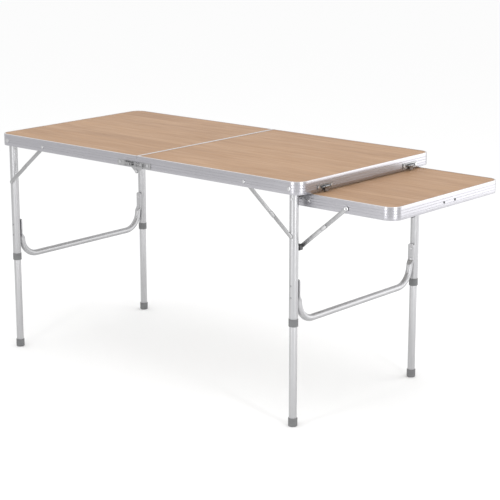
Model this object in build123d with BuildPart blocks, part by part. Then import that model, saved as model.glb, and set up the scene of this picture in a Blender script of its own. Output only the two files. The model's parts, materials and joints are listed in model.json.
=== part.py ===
from build123d import *
import os
from math import atan2, degrees, hypot

# Folding table: two hinged panels, a folding leg frame under each end and a lower side leaf
# carried by the right leg frame. Millimetres, +X to the leaf, +Y to the back, +Z up, floor at 0.

# ---------------------------------------------------------------- driving dimensions
top_length = 1200.0
top_width = 610.0
top_height = 690.0
leaf_side_room = 17.5         # from the leaf's rim to the legs beside it
leaf_reach = 305.0            # from the leaf's pivot to its outer edge
leaf_clearance = 2.5          # from the main rims down to the leaf's top

# bent aluminium rim, the same section on the panels and the leaf
rim_height = 36.0
rim_wall = 1.4
lip_width = 4.0
lip_thickness = 1.0
board_thickness = 5.0
ledge_width = 9.0
ledge_thickness = 1.2
flange_width = 5.0
corner_radius = 34.0
board_gap = 0.2
seam_gap = 1.0
seam_web = 1.2
seam_web_height = 8.4

# leg frames
corner_room = 2.0             # straight rim from a leg's axis to the rounded corner
leg_inset_y = 23.0            # leg axis from the panel's side
leg_radius = 12.5
leg_bore = 11.1
lower_radius = 11.0
lower_bore = 9.8
pivot_drop = 20.0             # leg pivot below the top
leg_stub = 2.0                # tube above the pivot
pivot_bolt_radius = 4.0
bolt_head_radius = 6.5
bolt_head_height = 2.2
bolt_nut_radius = 6.0
bolt_nut_height = 4.0
bush_radius = 6.0
bush_wall_gap = 0.3           # the bush stops short of the rim, whose corner curves in here
running_gap = 0.05
collar_bottom = 286.0
collar_height = 22.0
collar_radius = 13.4
collar_step = 4.0
foot_radius = 13.0
foot_height = 24.0
foot_floor = 4.0
lower_top = 385.0

# crossbar of each leg frame
bar_radius = 9.5
bar_wall = 1.3
bar_height = 294.0
bar_bend = 58.0
bar_flat_thickness = 5.0
bar_flat_width = 22.0
bar_flat_start = 362.0
bar_top = 415.0
bar_rivet_heights = (368.0, 401.0)
rivet_radius = 2.5
rivet_head_radius = 4.5
rivet_head_height = 1.6
rivet_tail = 1.2
rivet_tail_radius = 3.5

# elbow stays of the leg frames
stay_width = 12.0
stay_thickness = 1.4
stay_clear = 0.3
stay_lap = 0.2
stay_rail_reach = 159.4       # rail rivet from the leg pivot, along the panel
stay_rail_drop = 1.5          # rail rivet below the leg pivot
stay_leg_drop = 132.5         # leg rivet below the leg pivot
stay_upper_length = 116.6
stay_pin_radius = 3.0

# elbow stays of the leaf
leaf_pivot_drop = 11.5        # leaf's pivot below its top
leaf_tail = 11.0              # side rails past the pivot, towards the seam
leaf_tail_radius = 13.0
leaf_bolt_radius = 3.0
leaf_nut_radius = 4.0
leaf_nut_height = 3.5
leaf_spacer_radius = 5.5
leaf_stay_reach = 152.0
leaf_stay_drop = 11.0
leaf_bracket_drop = 136.0
leaf_bracket_offset = 2.0
leaf_stay_upper_length = 104.6
bracket_size = 16.0

# seam hinge, seam latch and end latches
hinge_drop = 8.0              # hinge axis below the rim
plate_thickness = 1.5
ear_radius = 6.5
hinge_pin_radius = 3.0
latch_inset_y = 109.0         # end latch's middle from the panel's side
latch_length = 68.0
latch_height = 16.0
latch_pin_radius = 1.5
latch_pin_out = 6.0
hook_width = 16.0

# ---------------------------------------------------------------- worked-out places
half_length = top_length / 2
half_width = top_width / 2
latch_offset_y = half_width - latch_inset_y
rim_bottom = top_height - rim_height
leg_x = half_length - corner_radius - corner_room
leg_y = half_width - leg_inset_y
leaf_end = leg_x + leaf_reach
seam_x = -(leaf_end - half_length) / 2     # puts the whole outline's middle at X = 0
pivot_z = top_height - pivot_drop
leaf_top = rim_bottom - leaf_clearance
leaf_pivot_z = leaf_top - leaf_pivot_drop
leaf_bottom = leaf_top - rim_height
hinge_z = rim_bottom - hinge_drop
leg_outer = leg_y + leg_radius
leg_inner = leg_y - leg_radius
leaf_half_width = leg_inner - leaf_side_room

# Y planes of the leg stays, from the leg outwards
lower_stay_y = leg_outer + stay_clear
upper_stay_y = lower_stay_y + stay_thickness + stay_lap
# Y planes of the leaf stays, from the leaf outwards
leaf_upper_stay_y = leaf_half_width + stay_clear
leaf_lower_stay_y = leaf_upper_stay_y + stay_thickness + stay_lap
leaf_bracket_y = leaf_lower_stay_y + stay_thickness + stay_clear

RIGHT, LEFT = 1, -1
FRONT, BACK = -1, 1
SIDE_NAMES = {RIGHT: "right", LEFT: "left"}
DEPTH_NAMES = {FRONT: "front", BACK: "back"}

os.makedirs("parts", exist_ok=True)


def save(piece, node):
    """Label a finished piece and write it to its own STEP file."""
    piece.part.label = node
    export_step(piece.part, f"parts/{node}.step")


def across(x, y, z, depth=FRONT):
    """A plane whose normal points outwards through the front (or back) side of the table."""
    return Plane(origin=(seam_x + x, depth * y, z), x_dir=(1, 0, 0), z_dir=(0, depth, 0))


def outwards(x, y, z, side=RIGHT):
    """A plane whose normal points outwards through the right (or left) end of the table."""
    return Plane(origin=(seam_x + x, y, z), x_dir=(0, 1, 0), z_dir=(side, 0, 0))


def level(x, y, z):
    """A horizontal plane through a point."""
    return Plane(origin=(seam_x + x, y, z))


def rod(radius, plane, length, mode=Mode.ADD):
    """A round bar that starts on a plane and follows its normal."""
    with BuildSketch(plane) as section:
        Circle(radius)
    extrude(section.sketch, amount=length, mode=mode)


def slab(low, high, mode=Mode.ADD):
    """A block between two opposite corners, X measured from the seam."""
    size = [b - a for a, b in zip(low, high)]
    middle = [(a + b) / 2 for a, b in zip(low, high)]
    with Locations((seam_x + middle[0], middle[1], middle[2])):
        Box(*size, mode=mode)


# ---------------------------------------------------------------- panels and leaf
def panel_outline(side, near, far, width, radius):
    """Outline of a panel from X = near to X = far, with its two far corners rounded."""
    x_near, x_far = seam_x + side * near, seam_x + side * far
    with BuildSketch() as outline:
        with BuildLine():
            Polyline((x_near, -width), (x_far, -width), (x_far, width), (x_near, width), close=True)
        make_face()
        far_corners = outline.vertices().sort_by(Axis.X)
        fillet(far_corners[-2:] if side > 0 else far_corners[:2], radius=radius)
    return outline.sketch


def rim_band(side, near, far, width, depth):
    """The rim seen from above: a band of the given depth, open at its near end."""
    with BuildSketch() as band:
        add(panel_outline(side, near, far, width, corner_radius))
        add(panel_outline(side, near - 1, far - depth, width - depth, corner_radius - depth),
            mode=Mode.SUBTRACT)
    return band.sketch


def rim_levels(top):
    """The rim's section as (bottom, height, depth) strips: wall, lip, board ledge, flange."""
    board_bottom = top - lip_thickness - board_thickness
    return [
        (top - rim_height, rim_height, rim_wall),
        (top - lip_thickness, lip_thickness, lip_width),
        (board_bottom - ledge_thickness, ledge_thickness, ledge_width),
        (top - rim_height, rim_wall, flange_width),
    ]


def add_rim(side, near, far, width, top):
    """Build the rim strips into the part that is open."""
    for bottom, height, depth in rim_levels(top):
        band = rim_band(side, near, far, width, depth)
        extrude(band.moved(Location((0, 0, bottom))), amount=height)


def add_board(side, near, far, width, top):
    """Build the board that lies in the rim."""
    inset = rim_wall + board_gap
    outline = panel_outline(side, near, far - inset, width - inset, corner_radius - inset)
    bottom = top - lip_thickness - board_thickness
    extrude(outline.moved(Location((0, 0, bottom))), amount=board_thickness)


hinge_rivet_xs = {LEFT: (68.0, 8.0), RIGHT: (18.0, 42.0)}
hinge_rivet_z = rim_bottom + 12.0
latch_plate_z = rim_bottom + 12.0
latch_rivet_reach = latch_length / 2 - 6.0
stay_rail_x = leg_x - stay_rail_reach
stay_rail_z = pivot_z - stay_rail_drop

for side in (LEFT, RIGHT):
    name = SIDE_NAMES[side]

    with BuildPart() as rim:
        add_rim(side, seam_gap / 2, half_length, half_width, top_height)
        for depth in (FRONT, BACK):
            inside = half_width - 2 * rim_wall
            rod(pivot_bolt_radius, across(side * leg_x, inside, pivot_z, depth), 8, Mode.SUBTRACT)
            rod(stay_pin_radius, across(side * stay_rail_x, inside, stay_rail_z, depth), 8,
                Mode.SUBTRACT)
            for x in hinge_rivet_xs[side]:
                rod(rivet_radius, across(side * x, inside, hinge_rivet_z, depth), 8, Mode.SUBTRACT)
            for y in (-latch_rivet_reach, latch_rivet_reach):
                rod(rivet_radius, outwards(side * (half_length - 2 * rim_wall),
                                           depth * latch_offset_y + y, latch_plate_z, side), 8,
                    Mode.SUBTRACT)
    save(rim, f"{name}_rim")

    with BuildPart() as board:
        add_board(side, seam_gap / 2 + seam_web, half_length, half_width, top_height)
    save(board, f"{name}_board")

    # channel that closes the panel at the seam: web, top lip and a ledge under the board
    with BuildPart() as seam_channel:
        near = seam_gap / 2
        web_bottom = top_height - seam_web_height
        board_bottom = top_height - lip_thickness - board_thickness
        for far, width, low, high in (
            (near + seam_web, half_width - rim_wall, web_bottom, top_height - lip_thickness),
            (near + lip_width, half_width - lip_width, top_height - lip_thickness, top_height),
            (near + ledge_width, half_width - ledge_width, board_bottom - ledge_thickness,
             board_bottom),
        ):
            xs = sorted((side * near, side * far))
            slab((xs[0], -width, low), (xs[1], width, high))
        # the rim's own lip and ledge run through at both ends of the web
        for depth in (FRONT, BACK):
            for reach, low, high in (
                (lip_width, top_height - lip_thickness, top_height),
                (ledge_width, board_bottom - ledge_thickness, board_bottom),
            ):
                ys = sorted((depth * half_width, depth * (half_width - reach)))
                slab((-20, ys[0], low), (20, ys[1], high), Mode.SUBTRACT)
    save(seam_channel, f"{name}_seam_channel")

# ---------------------------------------------------------------- seam hinges
ear_planes = {LEFT: half_width, RIGHT: half_width + plate_thickness + stay_clear}
plate_ends = {LEFT: 78.0, RIGHT: 55.0}
plate_height = 17.0
joggle_x = 10.0               # the right ear steps outwards here, past the left ear
ear_reach = 24.0

for side in (LEFT, RIGHT):
    name = SIDE_NAMES[side]

    with BuildPart() as hinge_plates:
        near = joggle_x if side == RIGHT else seam_gap
        with BuildSketch(across(0, half_width, rim_bottom)) as plate:
            with Locations((side * (near + plate_ends[side]) / 2, plate_height / 2 + 2)):
                RectangleRounded(plate_ends[side] - near, plate_height, 2)
        extrude(plate.sketch, amount=plate_thickness)
        # ear that reaches down to the hinge pin
        with BuildSketch(across(0, ear_planes[side], hinge_z)) as ear:
            Circle(ear_radius)
            with BuildLine():
                Polyline((side * seam_gap, 0), (side * ear_radius * 0.7, -ear_radius * 0.7),
                         (side * ear_reach, hinge_drop + 3), (side * ear_reach, hinge_drop + 16),
                         (side * seam_gap, hinge_drop + 16), close=True)
            make_face()
        extrude(ear.sketch, amount=plate_thickness)
        if side == RIGHT:
            # spacer that carries the outer ear on the plate
            with BuildSketch(across(0, half_width, rim_bottom)) as step:
                with Locations(((joggle_x + ear_reach) / 2, plate_height / 2 + 2)):
                    Rectangle(ear_reach - joggle_x, plate_height - 4)
            extrude(step.sketch, amount=ear_planes[RIGHT] - half_width)
        hole = hinge_pin_radius + (running_gap if side == RIGHT else 0)
        rod(hole, across(0, half_width - 1, hinge_z), 8, Mode.SUBTRACT)
        for x in hinge_rivet_xs[side]:
            rod(rivet_radius, across(side * x, half_width - 1, hinge_rivet_z), 8, Mode.SUBTRACT)
        mirror(about=Plane.XZ)
    save(hinge_plates, f"{name}_hinge_plates")

    with BuildPart() as hinge_rivets:
        for x in hinge_rivet_xs[side]:
            outer = ear_planes[side] if x < ear_reach else half_width
            tail = half_width - rim_wall - rivet_tail
            face = outer + plate_thickness
            rod(rivet_radius, across(side * x, tail, hinge_rivet_z), face - tail)
            rod(rivet_head_radius, across(side * x, face, hinge_rivet_z), 1.2)
            rod(rivet_tail_radius, across(side * x, tail, hinge_rivet_z), rivet_tail)
        mirror(about=Plane.XZ)
    save(hinge_rivets, f"{name}_hinge_rivets")

with BuildPart() as hinge_pins:
    pin_inner = half_width - 2.0
    pin_outer = ear_planes[RIGHT] + plate_thickness + 0.2
    rod(hinge_pin_radius, across(0, pin_inner, hinge_z), pin_outer - pin_inner)
    rod(hinge_pin_radius + 2, across(0, pin_inner, hinge_z), half_width - pin_inner)
    rod(hinge_pin_radius + 2, across(0, pin_outer, hinge_z), 1.8)
    mirror(about=Plane.XZ)
save(hinge_pins, "hinge_pins")

# ---------------------------------------------------------------- seam latch, on the front side
latch_face = half_width + plate_thickness
seam_latch_pivot_x = -42.0
seam_latch_pivot_y = latch_face + 4.0
seam_latch_z = rim_bottom + 11.0
seam_base_start = -46.0
seam_base_end = -16.0
seam_base_half = 7.0          # half the height of the base and its ears
seam_ear_end = -38.0
seam_ear_thickness = 1.8
seam_barrel_radius = 2.4
seam_barrel_half = 4.9
lever_end = -14.0
lever_thickness = 1.3
loop_end = 20.0
loop_width = 9.6
loop_wire = 2.0               # section of the loop's wire
seam_pin_radius = 1.2
keeper_start = 24.3           # just past the end of the loop
keeper_end = 34.0

with BuildPart() as seam_latch_base:
    slab((seam_base_start, -latch_face - 1.2, seam_latch_z - seam_base_half),
         (seam_base_end, -latch_face, seam_latch_z + seam_base_half))
    for low in (-seam_base_half, seam_base_half - seam_ear_thickness):
        slab((seam_base_start, -seam_latch_pivot_y - seam_barrel_radius, seam_latch_z + low),
             (seam_ear_end, -latch_face - 0.6, seam_latch_z + low + seam_ear_thickness))
    rod(seam_pin_radius, level(seam_latch_pivot_x, -seam_latch_pivot_y, seam_latch_z - seam_base_half),
        2 * seam_base_half)
save(seam_latch_base, "seam_latch_base")

with BuildPart() as seam_latch_lever:
    rod(seam_barrel_radius, level(seam_latch_pivot_x, -seam_latch_pivot_y,
                                  seam_latch_z - seam_barrel_half), 2 * seam_barrel_half)
    lever_outer = -seam_latch_pivot_y - seam_barrel_radius + 0.2
    slab((seam_latch_pivot_x, lever_outer, seam_latch_z - seam_barrel_half),
         (lever_end, lever_outer + lever_thickness, seam_latch_z + seam_barrel_half))
    # wire loop that reaches over the seam
    loop_start = seam_base_end - 10
    with BuildSketch(across((loop_start + loop_end) / 2, -lever_outer - 0.2, seam_latch_z)) as loop:
        RectangleRounded(loop_end - loop_start, loop_width, 2.4)
        RectangleRounded(loop_end - loop_start - 2 * loop_wire, loop_width - 2 * loop_wire, 0.8,
                         mode=Mode.SUBTRACT)
    extrude(loop.sketch, amount=loop_wire)
    rod(seam_pin_radius + running_gap, level(seam_latch_pivot_x, -seam_latch_pivot_y,
                                             seam_latch_z - seam_base_half), 2 * seam_base_half,
        Mode.SUBTRACT)
save(seam_latch_lever, "seam_latch_lever")

with BuildPart() as seam_latch_keeper:
    keeper_face = ear_planes[RIGHT] + plate_thickness
    slab((keeper_start, -latch_face - 1.0, seam_latch_z - 6),
         (keeper_end, -latch_face, seam_latch_z + 6))
    slab((keeper_start, -keeper_face - 2.4, seam_latch_z - 5),
         (keeper_start + 1.7, -latch_face, seam_latch_z + 5))
save(seam_latch_keeper, "seam_latch_keeper")

# ---------------------------------------------------------------- end latches and their catches
hook_pin_x = half_length + latch_pin_out
hook_tip_z = rim_bottom - 0.8

latch_y = -latch_offset_y
latch_ear_starts = (-16.0, 14.5)
latch_ear_radius = 3.2
spring_radius = 2.7
spring_length = 4.7


def along_pin(start):
    """A plane on the front latch's pin, with its normal along +Y."""
    return Plane(origin=(seam_x + hook_pin_x, latch_y + start, latch_plate_z),
                 x_dir=(1, 0, 0), z_dir=(0, 1, 0))


with BuildPart() as end_latch_plates:
    with BuildSketch(outwards(half_length, latch_y, latch_plate_z)) as plate:
        RectangleRounded(latch_length, latch_height, 2)
        with Locations((-latch_rivet_reach, 0), (latch_rivet_reach, 0)):
            Circle(rivet_radius, mode=Mode.SUBTRACT)
    extrude(plate.sketch, amount=plate_thickness)
    for start in latch_ear_starts:
        with BuildSketch(along_pin(start)) as ear:
            Circle(latch_ear_radius)
            with Locations((-latch_pin_out / 2, 0)):
                Rectangle(latch_pin_out, 2 * latch_ear_radius)
            Circle(latch_pin_radius, mode=Mode.SUBTRACT)
        extrude(ear.sketch, amount=plate_thickness)
    mirror(about=Plane.XZ)
save(end_latch_plates, "end_latch_plates")

# cross pins of the two latches and the rivets that hold their plates
with BuildPart() as end_latch_pins:
    for y in (-latch_rivet_reach, latch_rivet_reach):
        tail = outwards(half_length - rim_wall - rivet_tail, latch_y + y, latch_plate_z)
        rod(rivet_radius, tail, rim_wall + rivet_tail + plate_thickness)
        rod(rivet_tail_radius, tail, rivet_tail)
        rod(rivet_head_radius, outwards(half_length + plate_thickness, latch_y + y, latch_plate_z),
            1.3)
    rod(latch_pin_radius, along_pin(-17), 34)
    mirror(about=Plane.XZ)
save(end_latch_pins, "end_latch_pins")

with BuildPart() as end_latch_springs:
    for start in (-14.0, 14.0 - spring_length):
        with BuildSketch(along_pin(start)) as coil:
            Circle(spring_radius)
            Circle(latch_pin_radius, mode=Mode.SUBTRACT)
        extrude(coil.sketch, amount=spring_length)
    mirror(about=Plane.XZ)
save(end_latch_springs, "end_latch_springs")

for depth in (FRONT, BACK):
    y = depth * latch_offset_y
    with BuildPart() as hook:
        plane = Plane(origin=(seam_x + hook_pin_x, y - hook_width / 2, latch_plate_z),
                      x_dir=(1, 0, 0), z_dir=(0, 1, 0))
        down = -plane.y_dir.Z
        with BuildSketch(plane) as profile:
            Circle(3.3)
            drop = latch_plate_z - hook_tip_z
            with Locations((0, down * drop / 2)):
                Rectangle(2.0, drop)
            with Locations((-1.0, down * (drop - 0.9))):
                Rectangle(4.0, 1.8)
            Circle(latch_pin_radius + running_gap, mode=Mode.SUBTRACT)
        extrude(profile.sketch, amount=hook_width)
    save(hook, f"{DEPTH_NAMES[depth]}_end_hook")

with BuildPart() as end_catches:
    with BuildSketch(outwards(-half_length, latch_y, latch_plate_z, LEFT)) as plate:
        RectangleRounded(latch_length, latch_height - 4, 2)
    extrude(plate.sketch, amount=plate_thickness)
    # lip that the hook grips when the table is shut
    lip_half = hook_width / 2 + 1
    slab((-half_length - 4.5, latch_y - lip_half, latch_plate_z + 2),
         (-half_length, latch_y + lip_half, latch_plate_z + 4))
    slab((-half_length - 4.5, latch_y - lip_half, latch_plate_z - 1),
         (-half_length - 3.2, latch_y + lip_half, latch_plate_z + 4))
    for y in (-latch_rivet_reach, latch_rivet_reach):
        tail = outwards(-half_length + rim_wall + rivet_tail, latch_y + y, latch_plate_z, LEFT)
        rod(rivet_radius, tail, rim_wall + rivet_tail + plate_thickness)
        rod(rivet_tail_radius, tail, rivet_tail)
        rod(rivet_head_radius, outwards(-half_length - plate_thickness, latch_y + y,
                                        latch_plate_z, LEFT), 1.3)
    mirror(about=Plane.XZ)
save(end_catches, "end_catches")

# ---------------------------------------------------------------- leg frames
wall_end = leg_bore + 0.05       # a blind rivet ends flush with the bore
leaf_bracket_z = leaf_pivot_z - leaf_bracket_drop
stay_leg_z = pivot_z - stay_leg_drop
bar_y = leg_inner - bar_radius - 0.2
flat_y = leg_inner - bar_flat_thickness / 2

for side in (LEFT, RIGHT):
    name = SIDE_NAMES[side]
    x = side * leg_x

    for depth in (FRONT, BACK):
        corner = f"{DEPTH_NAMES[depth]}_{name}"

        with BuildPart() as upper_leg:
            bottom = collar_bottom + collar_step
            base = level(x, depth * leg_y, bottom)
            rod(leg_radius, base, pivot_z + leg_stub - bottom)
            rod(leg_bore, base, pivot_z + leg_stub - bottom, Mode.SUBTRACT)
            rod(pivot_bolt_radius + running_gap, across(x, leg_inner - 5, pivot_z, depth),
                2 * leg_radius + 10, Mode.SUBTRACT)
            rod(rivet_radius, across(x, leg_y, stay_leg_z, depth), 2 * leg_radius, Mode.SUBTRACT)
            for z in bar_rivet_heights:
                # rivet hole towards the crossbar, tool hole on the outer side
                rod(rivet_radius, across(x, leg_inner - 5, z, depth), leg_radius, Mode.SUBTRACT)
                rod(3.0, across(x, leg_y, z, depth), 2 * leg_radius, Mode.SUBTRACT)
            if side == RIGHT:
                rod(leaf_bolt_radius, across(x, leg_inner - 5, leaf_pivot_z, depth),
                    2 * leg_radius + 10, Mode.SUBTRACT)
                rod(rivet_radius, across(x, leg_inner - 5, leaf_bracket_z, depth), leg_radius,
                    Mode.SUBTRACT)
        save(upper_leg, f"{corner}_upper_leg")

        with BuildPart() as collar:
            rod(collar_radius, level(x, depth * leg_y, collar_bottom), collar_height)
            rod(leg_bore, level(x, depth * leg_y, collar_bottom), collar_height, Mode.SUBTRACT)
            rod(leg_radius + running_gap, level(x, depth * leg_y, collar_bottom + collar_step - 0.3),
                collar_height, Mode.SUBTRACT)
        save(collar, f"{corner}_collar")

        with BuildPart() as lower_leg:
            base = level(x, depth * leg_y, foot_floor)
            rod(lower_radius, base, lower_top - foot_floor)
            rod(lower_bore, base, lower_top - foot_floor, Mode.SUBTRACT)
        save(lower_leg, f"{corner}_lower_leg")

        with BuildPart() as foot:
            rod(foot_radius, level(x, depth * leg_y, 0), foot_height)
            fillet(foot.edges().sort_by(Axis.Z)[0], radius=2)
            rod(lower_radius, level(x, depth * leg_y, foot_floor), foot_height, Mode.SUBTRACT)
        save(foot, f"{corner}_foot")

    # domed plugs in the tops of the two tubes
    with BuildPart() as leg_plugs:
        for depth in (FRONT, BACK):
            rod(leg_bore, level(x, depth * leg_y, pivot_z - 1), leg_stub + 1)
            with Locations((seam_x + x, depth * leg_y, pivot_z)):
                Sphere(leg_radius)
            slab((x - 20, depth * leg_y - 20, pivot_z - 20),
                 (x + 20, depth * leg_y + 20, pivot_z - 1), Mode.SUBTRACT)
            ring = pivot_z + leg_stub
            with BuildSketch(level(x, depth * leg_y, pivot_z - 1)) as tube_end:
                Circle(leg_radius + 1)
                Circle(leg_bore, mode=Mode.SUBTRACT)
            extrude(tube_end.sketch, amount=ring - pivot_z + 1, mode=Mode.SUBTRACT)
            rod(pivot_bolt_radius + running_gap, across(x, leg_inner - 5, pivot_z, depth),
                2 * leg_radius + 10, Mode.SUBTRACT)
    save(leg_plugs, f"{name}_leg_plugs")

    # crossbar: one bent tube whose two ends are flattened against the legs
    with BuildPart() as crossbar:
        bend_top = bar_height + bar_bend
        with BuildSketch(level(x, -bar_y, bend_top)) as round_end:
            Circle(bar_radius)
        with BuildSketch(level(x, -flat_y, bar_flat_start)) as flat_end:
            Ellipse(bar_flat_width / 2, bar_flat_thickness / 2)
        loft([round_end.sketch.face(), flat_end.sketch.face()])
        length = bar_top - bar_flat_start
        with BuildSketch(across(x, leg_inner - bar_flat_thickness, bar_flat_start)) as flat:
            with Locations((0, length / 2)):
                RectangleRounded(bar_flat_width, length, 6)
            with Locations((0, 4)):
                Rectangle(bar_flat_width, 8)
            for z in bar_rivet_heights:
                with Locations((0, z - bar_flat_start)):
                    Circle(rivet_radius, mode=Mode.SUBTRACT)
        extrude(flat.sketch, amount=bar_flat_thickness)
        mirror(about=Plane.XZ)
        with BuildLine() as route:
            FilletPolyline((seam_x + x, -bar_y, bend_top), (seam_x + x, -bar_y, bar_height),
                           (seam_x + x, bar_y, bar_height), (seam_x + x, bar_y, bend_top),
                           radius=bar_bend - 0.01)
        with BuildSketch(level(x, -bar_y, bend_top)) as section:
            Circle(bar_radius)
            Circle(bar_radius - bar_wall, mode=Mode.SUBTRACT)
        sweep(section.sketch, path=route.wire())
    save(crossbar, f"{name}_crossbar")

    # rivets of the crossbar ends and the flush rivets of the stays
    with BuildPart() as frame_rivets:
        start = leg_inner - bar_flat_thickness
        for z in bar_rivet_heights:
            rod(rivet_radius, across(x, start, z), bar_flat_thickness + leg_radius - wall_end)
            rod(rivet_head_radius, across(x, start - rivet_head_height, z), rivet_head_height)
        rod(rivet_radius, across(x, leg_y + wall_end, stay_leg_z),
            lower_stay_y + stay_thickness - leg_y - wall_end)
        mirror(about=Plane.XZ)
    save(frame_rivets, f"{name}_frame_rivets")

    # leg pivots: bolts through rim and leg, with a bush between them
    with BuildPart() as pivot_bolts:
        start = leg_inner - bolt_nut_height - 0.5
        rod(pivot_bolt_radius, across(x, start, pivot_z), half_width - start)
        rod(bolt_head_radius, across(x, half_width, pivot_z), bolt_head_height)
        rod(bolt_nut_radius, across(x, start, pivot_z), bolt_nut_height)
        mirror(about=Plane.XZ)
    save(pivot_bolts, f"{name}_pivot_bolts")

    with BuildPart() as pivot_bushes:
        start = leg_outer + stay_clear
        with BuildSketch(across(x, start, pivot_z)) as bush:
            Circle(bush_radius)
            Circle(pivot_bolt_radius, mode=Mode.SUBTRACT)
        extrude(bush.sketch, amount=half_width - rim_wall - bush_wall_gap - start)
        mirror(about=Plane.XZ)
    save(pivot_bushes, f"{name}_pivot_bushes")

    with BuildPart() as stay_pins:
        pin_x = side * stay_rail_x
        shoulder = upper_stay_y + stay_thickness + stay_clear
        rod(stay_pin_radius, across(pin_x, upper_stay_y, stay_rail_z), half_width - upper_stay_y)
        rod(rivet_head_radius + 0.5, across(pin_x, half_width, stay_rail_z), 1.8)
        rod(stay_pin_radius + 2, across(pin_x, shoulder, stay_rail_z),
            half_width - rim_wall - shoulder)
        mirror(about=Plane.XZ)
    save(stay_pins, f"{name}_stay_pins")


# ---------------------------------------------------------------- elbow stays
def stay_bars(start, end, y, start_hole, head=0.0):
    """A pair of flat round-ended bars between two (x, z) points, one at each side of the table.

    A rivet head may close the far end."""
    (x0, z0), (x1, z1) = start, end
    length, turn = hypot(x1 - x0, z1 - z0), degrees(atan2(z1 - z0, x1 - x0))
    with BuildSketch(across(x0, y, z0)) as flat:
        with Locations(Location(((x1 - x0) / 2, (z1 - z0) / 2), turn)):
            SlotCenterToCenter(length, stay_width)
        Circle(start_hole, mode=Mode.SUBTRACT)
    extrude(flat.sketch, amount=stay_thickness)
    if head:
        rod(rivet_head_radius - 0.5, across(x1, y + stay_thickness, z1), head)
    mirror(about=Plane.XZ)


def between(start, end, distance):
    """The point at a distance from start towards end."""
    length = hypot(end[0] - start[0], end[1] - start[1])
    return tuple(a + (b - a) * distance / length for a, b in zip(start, end))


for side in (LEFT, RIGHT):
    name = SIDE_NAMES[side]
    rail_point = (side * stay_rail_x, stay_rail_z)
    leg_point = (side * leg_x, stay_leg_z)
    elbow = between(rail_point, leg_point, stay_upper_length)

    with BuildPart() as upper_stays:
        stay_bars(rail_point, elbow, upper_stay_y, stay_pin_radius + running_gap, head=1.3)
    save(upper_stays, f"{name}_upper_stays")

    with BuildPart() as lower_stays:
        stay_bars(leg_point, elbow, lower_stay_y, rivet_radius + running_gap)
    save(lower_stays, f"{name}_lower_stays")

# ---------------------------------------------------------------- side leaf
leaf_near = leg_x - leaf_tail
leaf_board_near = leg_x + 2.0
leaf_stay_x = leg_x + leaf_stay_reach
leaf_stay_z = leaf_pivot_z - leaf_stay_drop
leaf_rivet_x = leg_x + 25.0
leaf_rivet_z = leaf_pivot_z - 7.0
end_rivet_reach = 26.0
end_rivet_z = leaf_top - 21.0

with BuildPart() as leaf_rim:
    add_rim(RIGHT, leaf_near, leaf_end, leaf_half_width, leaf_top)
    # tails of the side rails are rounded about the pivot, so that they clear the top
    with BuildSketch(across(leg_x, leaf_half_width + 5, leaf_pivot_z)) as tail_cut:
        with Locations((-leaf_tail, leaf_tail)):
            Rectangle(2 * leaf_tail, 2 * leaf_tail)
        Circle(leaf_tail_radius, mode=Mode.SUBTRACT)
    extrude(tail_cut.sketch, amount=-2 * leaf_half_width - 10, mode=Mode.SUBTRACT)
    for depth in (FRONT, BACK):
        inside = leaf_half_width - 2 * rim_wall
        rod(leaf_bolt_radius + running_gap, across(leg_x, inside, leaf_pivot_z, depth), 8,
            Mode.SUBTRACT)
        rod(stay_pin_radius, across(leaf_stay_x, inside, leaf_stay_z, depth), 8, Mode.SUBTRACT)
        rod(rivet_radius, across(leaf_rivet_x, inside, leaf_rivet_z, depth), 8, Mode.SUBTRACT)
        rod(rivet_radius, outwards(leaf_end - 2 * rim_wall, depth * end_rivet_reach, end_rivet_z),
            8, Mode.SUBTRACT)
save(leaf_rim, "leaf_rim")

with BuildPart() as leaf_board:
    add_board(RIGHT, leaf_board_near, leaf_end, leaf_half_width, leaf_top)
save(leaf_board, "leaf_board")

# channel that closes the leaf's inner end, with a tab behind each side rail
with BuildPart() as leaf_inner_channel:
    width = leaf_half_width - rim_wall
    board_bottom = leaf_top - lip_thickness - board_thickness
    slab((leaf_board_near - 1.4, -width, leaf_bottom + 6),
         (leaf_board_near, width, leaf_top - lip_thickness))
    slab((leaf_board_near - 1.4, -leaf_half_width + lip_width, leaf_top - lip_thickness),
         (leaf_board_near + 3, leaf_half_width - lip_width, leaf_top))
    slab((leaf_board_near - 1.4, -leaf_half_width + ledge_width, board_bottom - ledge_thickness),
         (leaf_board_near + 10, leaf_half_width - ledge_width, board_bottom))
    slab((leaf_board_near - 1.4, -width, leaf_bottom + 6),
         (leaf_board_near + 10, width, leaf_bottom + 7.4))
    for depth in (FRONT, BACK):
        ys = sorted((depth * width, depth * (leaf_half_width - ledge_width)))
        slab((leaf_board_near - 3, ys[0], board_bottom - ledge_thickness),
             (leaf_board_near, ys[1], board_bottom), Mode.SUBTRACT)
        ys = sorted((depth * width, depth * (width - rim_wall)))
        slab((leaf_board_near, ys[0], leaf_bottom + 6),
             (leaf_rivet_x + 8, ys[1], leaf_pivot_z - 1))
        rod(leaf_nut_radius + 1, across(leg_x, leaf_half_width - 8, leaf_pivot_z, depth), 10,
            Mode.SUBTRACT)
        rod(rivet_radius, across(leaf_rivet_x, leaf_half_width - 6, leaf_rivet_z, depth), 8,
            Mode.SUBTRACT)
save(leaf_inner_channel, "leaf_inner_channel")

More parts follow.
